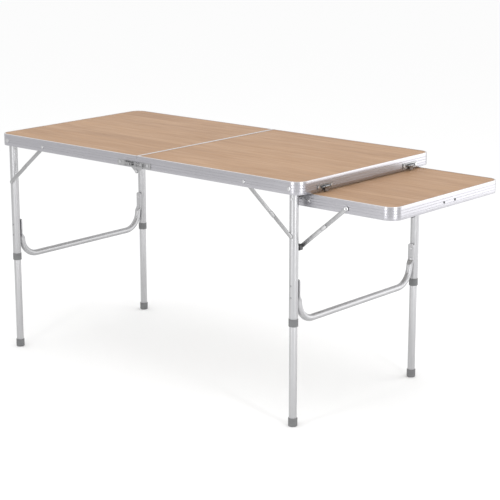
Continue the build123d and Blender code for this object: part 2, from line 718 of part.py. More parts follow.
# rivets of the inner channel and of the outer edge, and the pins that the leaf's stays turn on
with BuildPart() as leaf_rivets:
    tail = leaf_half_width - 2 * rim_wall - rivet_tail
    rod(rivet_radius, across(leaf_rivet_x, tail, leaf_rivet_z), 2 * rim_wall + rivet_tail)
    rod(rivet_tail_radius, across(leaf_rivet_x, tail, leaf_rivet_z), rivet_tail)
    rod(rivet_tail_radius, across(leaf_rivet_x, leaf_half_width, leaf_rivet_z), 1.4)
    end = outwards(leaf_end - rim_wall - rivet_tail, -end_rivet_reach, end_rivet_z)
    rod(rivet_radius, end, rim_wall + rivet_tail)
    rod(rivet_tail_radius, end, rivet_tail)
    rod(rivet_tail_radius, outwards(leaf_end, -end_rivet_reach, end_rivet_z), 1.4)
    tail = leaf_half_width - rim_wall - rivet_tail
    outer = leaf_upper_stay_y + stay_thickness + 0.1
    rod(stay_pin_radius, across(leaf_stay_x, tail, leaf_stay_z), outer - tail)
    rod(stay_pin_radius + 1.5, across(leaf_stay_x, tail, leaf_stay_z), rivet_tail)
    rod(stay_pin_radius + 3.5, across(leaf_stay_x, outer, leaf_stay_z), 2.0)
    mirror(about=Plane.XZ)
save(leaf_rivets, "leaf_rivets")

with BuildPart() as leaf_pivot_bolts:
    nut_start = leaf_half_width - rim_wall - 0.2 - leaf_nut_height
    spacer_start = leaf_half_width + 0.3
    rod(leaf_bolt_radius, across(leg_x, nut_start, leaf_pivot_z), leg_outer - nut_start)
    rod(leaf_nut_radius, across(leg_x, nut_start, leaf_pivot_z), leaf_nut_height)
    rod(leaf_spacer_radius, across(leg_x, spacer_start, leaf_pivot_z), leg_inner - spacer_start)
    rod(rivet_head_radius, across(leg_x, leg_outer, leaf_pivot_z), 1.7)
    mirror(about=Plane.XZ)
save(leaf_pivot_bolts, "leaf_pivot_bolts")

bracket_point = (leg_x + leaf_bracket_offset, leaf_bracket_z)
leaf_rail_point = (leaf_stay_x, leaf_stay_z)
leaf_elbow = between(leaf_rail_point, bracket_point, leaf_stay_upper_length)

with BuildPart() as leaf_stay_brackets:
    with BuildSketch(across(bracket_point[0], leaf_bracket_y, leaf_bracket_z)) as block:
        RectangleRounded(bracket_size, bracket_size, 3)
    extrude(block.sketch, amount=leg_inner - leaf_bracket_y)
    rod(rivet_radius, across(leg_x, leg_inner - 1, leaf_bracket_z), 1 + leg_radius - wall_end)
    rod(rivet_radius, across(bracket_point[0], leaf_lower_stay_y, leaf_bracket_z),
        leaf_bracket_y - leaf_lower_stay_y)
    mirror(about=Plane.XZ)
save(leaf_stay_brackets, "leaf_stay_brackets")

with BuildPart() as leaf_upper_stays:
    stay_bars(leaf_rail_point, leaf_elbow, leaf_upper_stay_y, stay_pin_radius + running_gap)
save(leaf_upper_stays, "leaf_upper_stays")

with BuildPart() as leaf_lower_stays:
    stay_bars(bracket_point, leaf_elbow, leaf_lower_stay_y, rivet_radius + running_gap, head=1.4)
save(leaf_lower_stays, "leaf_lower_stays")
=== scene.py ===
import json
from math import atan2, cos, hypot, pi, radians, sin

import bmesh
import bpy
import numpy as np
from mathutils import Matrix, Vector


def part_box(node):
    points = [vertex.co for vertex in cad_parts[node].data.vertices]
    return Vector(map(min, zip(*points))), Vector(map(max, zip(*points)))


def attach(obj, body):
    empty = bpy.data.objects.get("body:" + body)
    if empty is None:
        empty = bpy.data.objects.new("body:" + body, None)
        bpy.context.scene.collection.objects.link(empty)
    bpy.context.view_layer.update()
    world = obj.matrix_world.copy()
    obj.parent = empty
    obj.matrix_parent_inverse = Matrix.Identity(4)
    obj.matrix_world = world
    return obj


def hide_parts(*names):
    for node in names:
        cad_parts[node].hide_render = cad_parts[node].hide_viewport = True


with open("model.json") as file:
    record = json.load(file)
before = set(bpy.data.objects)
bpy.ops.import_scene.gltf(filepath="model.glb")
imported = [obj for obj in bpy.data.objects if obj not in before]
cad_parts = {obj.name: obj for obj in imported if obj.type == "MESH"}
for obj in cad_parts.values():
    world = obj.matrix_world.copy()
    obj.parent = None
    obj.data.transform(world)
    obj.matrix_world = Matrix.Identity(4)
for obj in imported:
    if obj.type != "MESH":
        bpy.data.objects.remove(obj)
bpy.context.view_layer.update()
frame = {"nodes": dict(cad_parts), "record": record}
body_of_node = {node: body for body, nodes in frame["record"]["behaviour"]["bodies"].items()
                for node in nodes}

# Folding table in metres: two hinged panels in aluminium rims, telescopic legs with bent
# crossbars and elbow stays, and a drop leaf beyond the right legs.
MM = 0.001

# ---------------------------------------------------------------- sizes and places
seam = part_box("left_rim")[1][0] + 0.5 * MM
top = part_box("left_rim")[1][2]
half_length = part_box("right_rim")[1][0] - seam
half_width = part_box("left_rim")[1][1]
leaf_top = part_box("leaf_rim")[1][2]
leaf_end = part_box("leaf_rim")[1][0] - seam
leaf_half_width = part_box("leaf_rim")[1][1]
leaf_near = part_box("leaf_rim")[0][0] - seam

corner_radius = 34 * MM
rim_wall = 1.4 * MM
leg_radius = 12.5 * MM
leg_bore = 11.1 * MM
lower_radius = 11 * MM
lower_bore = 9.8 * MM
upper_tube_low, upper_tube_high = 290 * MM, 672 * MM
lower_tube_low, lower_tube_high = 4 * MM, 385 * MM
collar_bottom = 286 * MM
collar_height = 22 * MM
collar_radius = 13.4 * MM
foot_height = 24 * MM
rib_step = 0.9 * MM

bar_radius = 9.5 * MM
bar_bend = 58 * MM
bar_height = 294 * MM
bar_flat_top = 415 * MM
bar_tip = 6 * MM
bar_taper = 18 * MM
bar_flat_half_width = 11 * MM
bar_flat_half_thickness = 2.5 * MM
bar_leg_gap = 0.2 * MM

stay_width = 12 * MM
stay_thickness = 1.4 * MM
elbow_tab = 12 * MM
rivet_heights = (368 * MM, 401 * MM)

leg_x = 564 * MM
leg_y = 282 * MM
pivot_z = 670 * MM
leg_inner = leg_y - leg_radius
leg_outer = leg_y + leg_radius
stay_rail = (leg_x - 159.4 * MM, 668.5 * MM)
stay_leg = (leg_x, 537.5 * MM)
stay_upper_length = 116.6 * MM
stay_clear = 0.3 * MM
stay_pitch = stay_thickness + 0.2 * MM
lower_stay_y = leg_outer + stay_clear
upper_stay_y = lower_stay_y + stay_pitch
leaf_pivot_z = 640 * MM
leaf_stay_rail = (leg_x + 152 * MM, 629 * MM)
leaf_stay_leg = (leg_x + 2 * MM, 504 * MM)
leaf_upper_length = 104.6 * MM
leaf_tail_radius = 13 * MM
leaf_upper_y = leaf_half_width + stay_clear
leaf_lower_y = leaf_upper_y + stay_pitch

hook_x = half_length + 6 * MM
hook_z = 666 * MM
latch_y = 196 * MM
seam_latch_x = -42 * MM
seam_latch_y = -310.5 * MM
seam_latch_z = 665 * MM

SIDES = {"left": -1, "right": 1}
DEPTHS = {"front": -1, "back": 1}


# ---------------------------------------------------------------- surfaces
def grid_faces(rows, columns, joined):
    """Quads of a stack of rings. Each ring's last point meets its first, and the last ring
    meets the first where the stack is joined."""
    row = np.arange(rows if joined else rows - 1)
    row, column = np.meshgrid(row, np.arange(columns), indexing="ij")
    next_row, next_column = (row + 1) % rows, (column + 1) % columns
    quads = [row * columns + column, row * columns + next_column,
             next_row * columns + next_column, next_row * columns + column]
    return np.stack(quads, axis=-1).reshape(-1, 4).tolist()


def shell(rings, joined=False):
    """A closed surface from a stack of rings, an array (stack, ring, 3).

    Quads join neighbouring rings, and a flat cap closes each end of an open stack. Its volume,
    the sum over the faces of the triple product of three corners, tells which way it faces, and
    it is turned round where that is negative."""
    rows, columns, _ = rings.shape
    points = rings.reshape(-1, 3)
    faces = grid_faces(rows, columns, joined)
    quads = np.array(faces)
    a, b, c, d = (points[quads[:, k]] for k in range(4))
    volume = np.einsum("ij,ij->", a, np.cross(b, c)) + np.einsum("ij,ij->", a, np.cross(c, d))
    if not joined:
        for ring, turn in ((rings[0], -1), (rings[-1], 1)):
            corners = np.broadcast_to(ring[0], ring[1:-1].shape)
            volume += turn * np.einsum("ij,ij->", corners, np.cross(ring[1:-1], ring[2:]))
        faces.append(list(range(columns))[::-1])
        faces.append([(rows - 1) * columns + k for k in range(columns)])
    if volume < 0:
        faces = [face[::-1] for face in faces]
    return points, faces


def turned(profile, base, axis=(0, 0, 1), steps=48, joined=False, ribs=None):
    """A surface of revolution: for each (radius, height) of the profile, the ring
    base + height * axis + radius * (cos t * u + sin t * v), with u and v square to the axis.

    ribs(t, height), where given, is added to the radius."""
    axis = np.array(axis, float)
    u = np.cross(axis, (0.31, 0.17, 0.93) if abs(axis[2]) < 0.9 else (1, 0, 0))
    u /= np.linalg.norm(u)
    v = np.cross(axis, u)
    turn = np.linspace(0, 2 * pi, steps, endpoint=False)[None, :]
    radius, height = (np.array(values, float)[:, None] for values in zip(*profile))
    radius = radius + (ribs(turn, height) if ribs else 0 * turn)
    height = height + 0 * turn
    rings = (np.array(base, float) + height[..., None] * axis
             + radius[..., None] * (np.cos(turn)[..., None] * u + np.sin(turn)[..., None] * v))
    return shell(rings, joined)


def rounded(corners, radius, steps=4):
    """A closed outline of (across, up) points whose sharp corners are cut by short curves: each
    corner c gives the quadratic (1-t)^2 a + 2t(1-t) c + t^2 b between points a and b at the given
    distance along its two edges."""
    corners = np.array(corners, float)
    before = np.roll(corners, 1, axis=0) - corners
    after = np.roll(corners, -1, axis=0) - corners
    reach = [np.minimum(radius / np.linalg.norm(edge, axis=1), 0.45)[:, None] * edge
             for edge in (before, after)]
    t = np.linspace(0, 1, steps + 1)[None, :, None]
    a, b = (corners + edge for edge in reach)
    curve = (1 - t) ** 2 * a[:, None] + 2 * t * (1 - t) * corners[:, None] + t ** 2 * b[:, None]
    return curve.reshape(-1, 2)


def swept(section, path, outward, up=(0, 0, 1), joined=False):
    """A section carried along a path: the ring at path point p is p + a * outward + b * up for
    each (a, b) of the section."""
    section = np.array(section, float)
    rings = (path[:, None, :] + section[None, :, :1] * outward[:, None, :]
             + section[None, :, 1:] * np.broadcast_to(up, path.shape)[:, None, :])
    return shell(rings, joined)


def wire(radius, path, outward, joined=False, sides=12):
    """Round wire along a path: the ring at p is p + radius * (cos t * n + sin t * b), with n the
    given outward direction made square to the run and b square to both."""
    run = np.gradient(path, axis=0) if not joined else (np.roll(path, -1, 0) - np.roll(path, 1, 0))
    run /= np.linalg.norm(run, axis=1)[:, None]
    outward = outward - np.sum(outward * run, axis=1)[:, None] * run
    outward /= np.linalg.norm(outward, axis=1)[:, None]
    side = np.cross(run, outward)
    turn = np.linspace(0, 2 * pi, sides, endpoint=False)
    rings = path[:, None] + radius * (np.cos(turn)[None, :, None] * outward[:, None]
                                      + np.sin(turn)[None, :, None] * side[:, None])
    return shell(rings, joined)


def rim_route(side, near, far, width, radius=corner_radius, steps=14):
    """The rim's outer face seen from above, and its outward directions: along the front, round a
    quarter circle of the corner radius, along the end, round another and back along the back."""
    quarter = np.linspace(0, pi / 2, steps)
    turn = np.concatenate([[-pi / 2], quarter - pi / 2, quarter, [pi / 2]])
    centre_x = np.concatenate([[near], np.full(2 * steps, far - radius), [near]])
    centre_y = np.concatenate([np.full(steps + 1, radius - width),
                               np.full(steps + 1, width - radius)])
    direction = np.stack([side * np.cos(turn), np.sin(turn), 0 * turn], axis=1)
    path = np.stack([seam + side * (centre_x + radius * np.cos(turn)),
                     centre_y + radius * np.sin(turn), 0 * turn], axis=1)
    path[[0, -1], 0] = seam + side * near
    return path, direction


def rim_section(top_z, groove_depths=(10.5, 18.0, 25.5)):
    """The rolled section, outwards and up from the outer face: a lip over the board, a face with
    three fine grooves, a foot flange and a ledge under the board. Depths are in millimetres."""
    face = []
    for depth in groove_depths:
        face += [(0, -depth + 0.75), (-0.4, -depth + 0.2),
                 (-0.4, -depth - 0.2), (0, -depth - 0.75)]
    corners = ([(-4, -0.05), (-3.7, 0), (-1.0, 0), (-0.3, -0.3), (0, -1.0)] + face
               + [(0, -35.2), (-0.25, -35.8), (-0.8, -36), (-5, -36), (-5, -34.8), (-1.4, -34.8),
                  (-1.4, -7.2), (-9, -7.2), (-9, -6.03), (-1.4, -6.03), (-1.4, -0.97), (-4, -0.97)])
    return np.array(corners) * MM + (0, top_z)


def bar(start, end, y, depth, tab=0.0, edge=0.35 * MM, steps=14):
    """A flat bar with round ends between two (x, z) points, longer by a tab past its end point,
    the elbow: rings of the slot outline, smaller by the edge rounding at both faces, stacked
    outwards from y."""
    (x0, z0), (x1, z1) = start, end
    heading = atan2(z1 - z0, x1 - x0)
    x1, z1 = x1 + tab * cos(heading), z1 + tab * sin(heading)
    half = np.linspace(-pi / 2, pi / 2, steps)
    turn = np.concatenate([heading + half, heading + pi + half])
    centre = np.array([[x1, z1]] * steps + [[x0, z0]] * steps)
    slope = 0.3 * edge
    stack = [(edge, 0), (slope, slope), (0, edge), (0, stay_thickness - edge),
             (slope, stay_thickness - slope), (edge, stay_thickness)]
    rings = []
    for inset, out in stack:
        points = centre + (stay_width / 2 - inset) * np.stack([np.cos(turn), np.sin(turn)], axis=1)
        rings.append(np.stack([seam + points[:, 0], np.full(len(points), depth * (y + out)),
                               points[:, 1]], axis=1))
    return shell(np.array(rings))


def dome(radius, height, base, axis, steps=28, foot=0.25):
    """A rivet head: radius times the cosine and height times the sine of a quarter turn, on a
    short straight foot."""
    quarter = np.linspace(0, pi / 2 * 0.96, 8)
    profile = [(radius, 0)] + [(radius * c, height * (foot + (1 - foot) * s))
                               for c, s in zip(np.cos(quarter) ** 0.8, np.sin(quarter))]
    return turned(profile, base, axis, steps)


def make_piece(name, body, finish, shells, replaces=(), sharp=32):
    """One object from closed shells, smooth apart from edges sharper than the given angle."""
    points, faces = [], []
    for shell_points, shell_faces in shells:
        start = sum(len(block) for block in points)
        faces += [[index + start for index in face] for face in shell_faces]
        points.append(shell_points)
    mesh = bpy.data.meshes.new(name)
    mesh.from_pydata(np.concatenate(points).tolist(), [], faces)
    mesh.polygons.foreach_set("use_smooth", np.ones(len(faces), dtype=bool))
    mesh.set_sharp_from_angle(angle=radians(sharp))
    mesh.materials.append(finish)
    piece = bpy.data.objects.new(name, mesh)
    bpy.context.scene.collection.objects.link(piece)
    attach(piece, body)
    if replaces:
        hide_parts(*replaces)
    return piece


def paint_lip_highlight(piece, top_z):
    """Paints a highlight on the rim's rolled lip: its faces in the top millimetre get a brighter
    metal than the rail.
    """
    lip_height = 1.1 * MM
    faces = piece.data.polygons
    middles = np.empty(3 * len(faces))
    faces.foreach_get("center", middles)
    piece.data.materials.append(lip_highlight_and_trim_metal)
    faces.foreach_set("material_index", (middles[2::3] > top_z - lip_height).astype(np.int32))


def softened(node, finish, width=0.3 * MM):
    """A copy of a pressed or turned piece with its triangles joined into flat faces and its sharp
    edges rounded."""
    weld_distance, flat_angle, smooth_angle, rounded_angle = 0.004 * MM, 1.5, 35, 40
    mesh = frame["nodes"][node].data.copy()
    form = bmesh.new()
    form.from_mesh(mesh)
    bmesh.ops.remove_doubles(form, verts=form.verts, dist=weld_distance)
    bmesh.ops.dissolve_limit(form, angle_limit=radians(flat_angle), verts=form.verts,
                             edges=form.edges)
    for face in form.faces:
        face.smooth = True
    form.to_mesh(mesh)
    form.free()
    mesh.set_sharp_from_angle(angle=radians(smooth_angle))
    mesh.materials.clear()
    mesh.materials.append(finish)
    piece = bpy.data.objects.new(f"{node}_edged", mesh)
    bpy.context.scene.collection.objects.link(piece)
    edges = piece.modifiers.new("rounded edges", "BEVEL")
    edges.width = width
    edges.segments = 2
    edges.limit_method = "ANGLE"
    edges.angle_limit = radians(rounded_angle)
    edges.harden_normals = False
    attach(piece, body_of_node[node])
    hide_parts(node)
    return piece


# ---------------------------------------------------------------- finishes
def finish(name):
    """An empty node material and its main shader, with helpers to add and join nodes."""
    material = bpy.data.materials.new(name)
    material.use_nodes = True
    tree = material.node_tree
    return material, tree, tree.nodes["Principled BSDF"]


def noise(tree, stretch, detail=4.0, roughness=0.55, distortion=0.0, move=(0, 0, 0)):
    """Noise on object coordinates, stretched by the three scales, in waves per metre."""
    place = tree.nodes.new("ShaderNodeTexCoord")
    mapping = tree.nodes.new("ShaderNodeMapping")
    mapping.inputs["Scale"].default_value = stretch
    mapping.inputs["Location"].default_value = move
    cloud = tree.nodes.new("ShaderNodeTexNoise")
    cloud.inputs["Scale"].default_value = 1.0
    cloud.inputs["Detail"].default_value = detail
    cloud.inputs["Roughness"].default_value = roughness
    cloud.inputs["Distortion"].default_value = distortion
    tree.links.new(place.outputs["Object"], mapping.inputs["Vector"])
    tree.links.new(mapping.outputs["Vector"], cloud.inputs["Vector"])
    return cloud.outputs["Fac"]


def ramp(tree, value, stops):
    """A colour ramp through (position, colour) stops."""
    node = tree.nodes.new("ShaderNodeValToRGB")
    while len(node.color_ramp.elements) < len(stops):
        node.color_ramp.elements.new(0.5)
    for element, (position, colour) in zip(node.color_ramp.elements, stops):
        element.position = position
        element.color = (*colour, 1)
    tree.links.new(value, node.inputs["Fac"])
    return node.outputs["Color"]


def blend_colours(tree, share, first, second, kind="MIX"):
    """Mixes two colours by a share, a number or another node's output."""
    node = tree.nodes.new("ShaderNodeMix")
    node.data_type = "RGBA"
    node.blend_type = kind
    if isinstance(share, float):
        node.inputs["Factor"].default_value = share
    else:
        tree.links.new(share, node.inputs["Factor"])
    for socket, colour in (("A", first), ("B", second)):
        target = [s for s in node.inputs if s.name == socket and s.type == "RGBA"][0]
        if isinstance(colour, tuple):
            target.default_value = (*colour, 1)
        else:
            tree.links.new(colour, target)
    return [s for s in node.outputs if s.type == "RGBA"][0]


def spread(tree, value, low, high, from_low=0.35, from_high=0.65):
    """Maps a texture's middle range onto low to high."""
    node = tree.nodes.new("ShaderNodeMapRange")
    node.inputs["From Min"].default_value = from_low
    node.inputs["From Max"].default_value = from_high
    node.inputs["To Min"].default_value = low
    node.inputs["To Max"].default_value = high
    tree.links.new(value, node.inputs["Value"])
    return node.outputs["Result"]


def relief(tree, shader, value, distance, strength=1.0):
    """Bump of the given depth in metres."""
    node = tree.nodes.new("ShaderNodeBump")
    node.inputs["Distance"].default_value = distance
    node.inputs["Strength"].default_value = strength
    tree.links.new(value, node.inputs["Height"])
    tree.links.new(node.outputs["Normal"], shader.inputs["Normal"])


def laminate_finish(name, board_top):
    """Printed light-brown wood grain that runs along X under a satin coat: broad figure, fine
    streaks and short dark pores. Below the board's top sheet it turns into a plain pale backing."""
    material, tree, shader = finish(name)
    figure = ramp(tree, noise(tree, (1.6, 17, 3), 3.0, 0.5, 0.9), [
        (0.32, (0.329, 0.195, 0.113)), (0.50, (0.426, 0.264, 0.159)),
        (0.68, (0.525, 0.344, 0.220))])
    streaks = ramp(tree, noise(tree, (7, 230, 40), 5.0, 0.62, 0.15), [
        (0.34, (0.274, 0.152, 0.080)), (0.52, (0.426, 0.262, 0.157)),
        (0.70, (0.558, 0.372, 0.240))])
    base = blend_colours(tree, 0.48, figure, streaks)
    pores = spread(tree, noise(tree, (38, 1150, 90), 3.0, 0.5, 0.0), 0.0, 0.55, 0.60, 0.74)
    base = blend_colours(tree, pores, base, (0.251, 0.133, 0.072))
    warm = spread(tree, noise(tree, (0.9, 6, 1), 2.0, 0.5, 0.4, (3.1, 0.4, 0)), 0.0, 0.35)
    base = blend_colours(tree, warm, base, (0.456, 0.274, 0.152))
    backing = ramp(tree, noise(tree, (60, 60, 60), 5.0, 0.6), [
        (0.35, (0.520, 0.505, 0.480)), (0.65, (0.580, 0.565, 0.540))])
    place = tree.nodes.new("ShaderNodeTexCoord")
    parts = tree.nodes.new("ShaderNodeSeparateXYZ")
    tree.links.new(place.outputs["Object"], parts.inputs["Vector"])
    sheet = spread(tree, parts.outputs["Z"], 0.0, 1.0, board_top - 2.6 * MM, board_top - 2.4 * MM)
    base = blend_colours(tree, sheet, backing, base)
    tree.links.new(base, shader.inputs["Base Color"])
    satin = spread(tree, noise(tree, (12, 420, 40), 4.0), 0.42, 0.56)
    tree.links.new(satin, shader.inputs["Roughness"])
    shader.inputs["Specular IOR Level"].default_value = 0.14
    relief(tree, shader, noise(tree, (30, 900, 90), 4.0), 0.00006, 0.5)
    return material


def metal_finish(name, colour, rough, stretch, depth, wear=0.06, metallic=1.0, lines=0.10):
    """Drawn or brushed metal: fine lines along the run of the section, soft cloudiness in its
    brightness, and roughness that follows the lines."""
    material, tree, shader = finish(name)
    fine = noise(tree, stretch, 4.0, 0.6)
    broad = noise(tree, (14, 14, 14), 3.0, 0.5)
    darker = tuple(channel * (1 - lines) for channel in colour)
    lighter = tuple(min(channel * (1 + lines * 0.5), 1.0) for channel in colour)
    tone = ramp(tree, fine, [(0.30, darker), (0.70, lighter)])
    dull = tuple(channel * (1 - wear) for channel in colour)
    tone = blend_colours(tree, spread(tree, broad, 0.0, 0.6), tone, dull)
    tree.links.new(tone, shader.inputs["Base Color"])
    tree.links.new(spread(tree, fine, rough - 0.06, rough + 0.08), shader.inputs["Roughness"])
    shader.inputs["Metallic"].default_value = metallic
    relief(tree, shader, fine, depth, 0.6)
    return material


def plastic_finish(name, colour, rough=0.5):
    """Moulded plastic with a fine spark-eroded texture and slight scuffing."""
    material, tree, shader = finish(name)
    scuff = noise(tree, (55, 55, 90), 5.0, 0.6)
    lighter = tuple(min(channel * 1.22 + 0.01, 1.0) for channel in colour)
    tone = ramp(tree, scuff, [(0.35, colour), (0.75, lighter)])
    tree.links.new(tone, shader.inputs["Base Color"])
    tree.links.new(spread(tree, scuff, rough - 0.05, rough + 0.1), shader.inputs["Roughness"])
    relief(tree, shader, noise(tree, (1500, 1500, 1500), 2.0), 0.00008, 0.6)
    return material


# waves per metre of the drawing lines, and their depth in metres
drawn_along_x, drawn_upright = (4, 4, 1300), (900, 900, 7)
light_relief, coarse_relief = 0.00002, 0.00003

laminate = laminate_finish("wood_grain_laminate", top)
leaf_laminate = laminate_finish("leaf_wood_grain_laminate", leaf_top)
rail = metal_finish("anodised_rail", (0.43, 0.425, 0.45), 0.31, drawn_along_x, light_relief)
# brighter metal: a painted highlight on the rims' lips, and the plain finish of the seam channels
lip_highlight_and_trim_metal = metal_finish("painted_lip_highlight_and_trim_metal", (0.68, 0.665, 0.67), 0.32, drawn_along_x, light_relief)
tube = metal_finish("satin_tube", (0.47, 0.47, 0.48), 0.44, drawn_upright, light_relief)
inner_tube = metal_finish("inner_tube", (0.50, 0.50, 0.51), 0.38, drawn_upright, light_relief)
steel = metal_finish("zinc_plated_steel", (0.41, 0.41, 0.415), 0.40, (160,) * 3,
                     coarse_relief, 0.12)
latch_steel = metal_finish("latch_steel", (0.33, 0.33, 0.335), 0.30, (160,) * 3,
                           coarse_relief, 0.12)
rivet = metal_finish("rivet_metal", (0.55, 0.55, 0.56), 0.30, (260,) * 3, coarse_relief, 0.12)
spring_steel = metal_finish("spring_wire", (0.36, 0.36, 0.37), 0.34, (300,) * 3,
                            light_relief, 0.15)
grey_plastic = plastic_finish("grey_moulded_plastic", (0.135, 0.137, 0.140))
black_plastic = plastic_finish("dark_moulded_plastic", (0.028, 0.028, 0.030), 0.45)

# ---------------------------------------------------------------- panels
for name, side in SIDES.items():
    path, outward = rim_route(side, 0.5 * MM, half_length, half_width)
    # the rail's lip gets the painted highlight of the brighter metal
    paint_lip_highlight(make_piece(f"{name}_rail", f"{name}_half", rail,
                          [swept(rim_section(top), path, outward)], [f"{name}_rim"], sharp=28), top)
    softened(f"{name}_seam_channel", lip_highlight_and_trim_metal, 0.25 * MM)
for node in ("left_board", "right_board", "leaf_board"):
    board = frame["nodes"][node]
    board.data.materials.clear()
    board.data.materials.append(leaf_laminate if node == "leaf_board" else laminate)

# ---------------------------------------------------------------- leg frames
def tube_profile(outer, inner, low, high, edge=0.3 * MM):
    """Half section of a tube, radius and height, with rounded rims."""
    return rounded([(inner, low), (outer, low), (outer, high), (inner, high)], edge, 3)


def rib_pattern(turn, count, depth, above, below):
    """Upright ribs: minus the depth, times a squared raised cosine round the ring, times a band
    that fades over 1.5 mm where the height above its lower or below its upper end runs out."""
    band = np.clip(np.minimum(above, below) / (1.5 * MM), 0, 1)
    return -depth * band * (0.5 - 0.5 * np.cos(count * turn)) ** 2


def collar_ribs(turn, height):
    """Twenty-four upright ribs between the collar's two smooth bands: a raised cosine round the
    collar times a bump over its height."""
    return rib_pattern(turn, 24, 0.55 * MM, height - collar_bottom - 4 * MM,
                       collar_bottom + collar_height - 4 * MM - height)


def foot_ribs(turn, height):
    """The same ribs on the middle of a foot, twenty of them."""
    return rib_pattern(turn, 20, 0.6 * MM, height - 6 * MM,
                       foot_height - 4 * MM - height)


def spaced(profile, step, closed=True):
    """The same outline with extra points, so that no edge is longer than the step."""
    profile = np.array(profile)
    out = []
    for a, b in list(zip(profile, np.roll(profile, -1, axis=0)))[:None if closed else -1]:
        count = max(int(np.ceil(hypot(*(b - a)) / step)), 1)
        out.append(a + (b - a) * np.arange(count)[:, None] / count)
    return np.concatenate(out if closed else out + [profile[-1:]])


def on_outside(pattern, outside):
    """The rib pattern on a ring's outer points alone, so that its bore stays round."""
    return lambda turn, height: pattern(turn, height) * outside[:, None]


def bar_rings(x):
    """The crossbar: an ellipse carried down one leg, round a bend, across, round the other bend
    and up. Its half sizes and its middle run smoothly from the flattened end to the round tube."""
    flat_y, round_y = leg_inner - bar_flat_half_thickness, leg_inner - bar_radius - bar_leg_gap
    bend_top = bar_height + bar_bend
    heights = np.concatenate([
        bar_flat_top - bar_tip * (1 - np.cos(np.linspace(0.12, pi / 2, 7))),
        np.linspace(400 * MM, 374 * MM, 4), np.linspace(372 * MM, 340 * MM, 16)])
    heights = heights[heights > bend_top]
    share = np.clip((heights - bend_top) / bar_taper, 0, 1)
    share = share * share * (3 - 2 * share)
    tip = np.clip((heights - (bar_flat_top - bar_tip)) / bar_tip, 0, 1)
    along = (bar_radius + share * (bar_flat_half_width - bar_radius)
             - bar_tip * (1 - np.sqrt(1 - tip ** 2)))
    through = bar_radius + share * (bar_flat_half_thickness - bar_radius)
    down = np.stack([-round_y - share * (flat_y - round_y), heights], axis=1)
    turn = np.linspace(0, pi / 2, 16)
    curve = np.stack([bar_bend - round_y - bar_bend * np.cos(turn),
                      bend_top - bar_bend * np.sin(turn)], axis=1)
    half = np.concatenate([down, curve])
    inward = np.concatenate([np.tile((1.0, 0.0), (len(down), 1)),
                             np.stack([np.cos(turn), np.sin(turn)], axis=1)])
    along = np.concatenate([along, np.full(len(curve), bar_radius)])
    through = np.concatenate([through, np.full(len(curve), bar_radius)])
    middle = np.concatenate([half, half[::-1] * (-1, 1)])
    inward = np.concatenate([inward, inward[::-1] * (-1, 1)])
    along, through = (np.concatenate([v, v[::-1]]) for v in (along, through))
    turn = np.linspace(0, 2 * pi, 32, endpoint=False)
    flat = np.clip((bar_radius - through) / (7 * MM), 0, 1)[:, None]
    power = 1 - 0.45 * flat
    cosine, sine = np.cos(turn)[None, :], np.sin(turn)[None, :]
    across_x = along[:, None] * np.sign(cosine) * np.abs(cosine) ** power
    across_n = through[:, None] * np.sign(sine) * np.abs(sine) ** power
    return np.stack([x + across_x, middle[:, :1] + across_n * inward[:, :1],
                     middle[:, 1:] + across_n * inward[:, 1:]], axis=-1)


collar_bore, collar_sleeve = lower_radius + 0.1 * MM, leg_radius + 0.05 * MM
collar_top, collar_step = collar_bottom + collar_height, collar_bottom + 3.7 * MM
collar_rings = spaced(rounded(
    [(collar_bore, collar_bottom), (collar_radius - 0.4 * MM, collar_bottom),
     (collar_radius, collar_bottom + 1.2 * MM), (collar_radius, collar_top - 1.2 * MM),
     (collar_radius - 0.3 * MM, collar_top), (collar_sleeve, collar_top),
     (collar_sleeve, collar_step), (collar_bore, collar_step)], 0.4 * MM, 3), rib_step)
foot_rings = spaced(
    np.array([(0.4, 1.1), (9.5, 0), (11.4, 0.25), (12.6, 1.2), (13.0, 2.6), (13.0, 5), (13.0, 20),
              (13.0, 22.8), (12.7, 23.7), (12.1, 24), (11.05, 24), (11.02, 23.6), (11.02, 4.0),
              (0.4, 4.0)]) * MM, rib_step, closed=False)
ribbed_collar = on_outside(collar_ribs, collar_rings[:, 0] > collar_radius - 0.6 * MM)
ribbed_foot = on_outside(foot_ribs, foot_rings[:, 0] > 12.2 * MM)

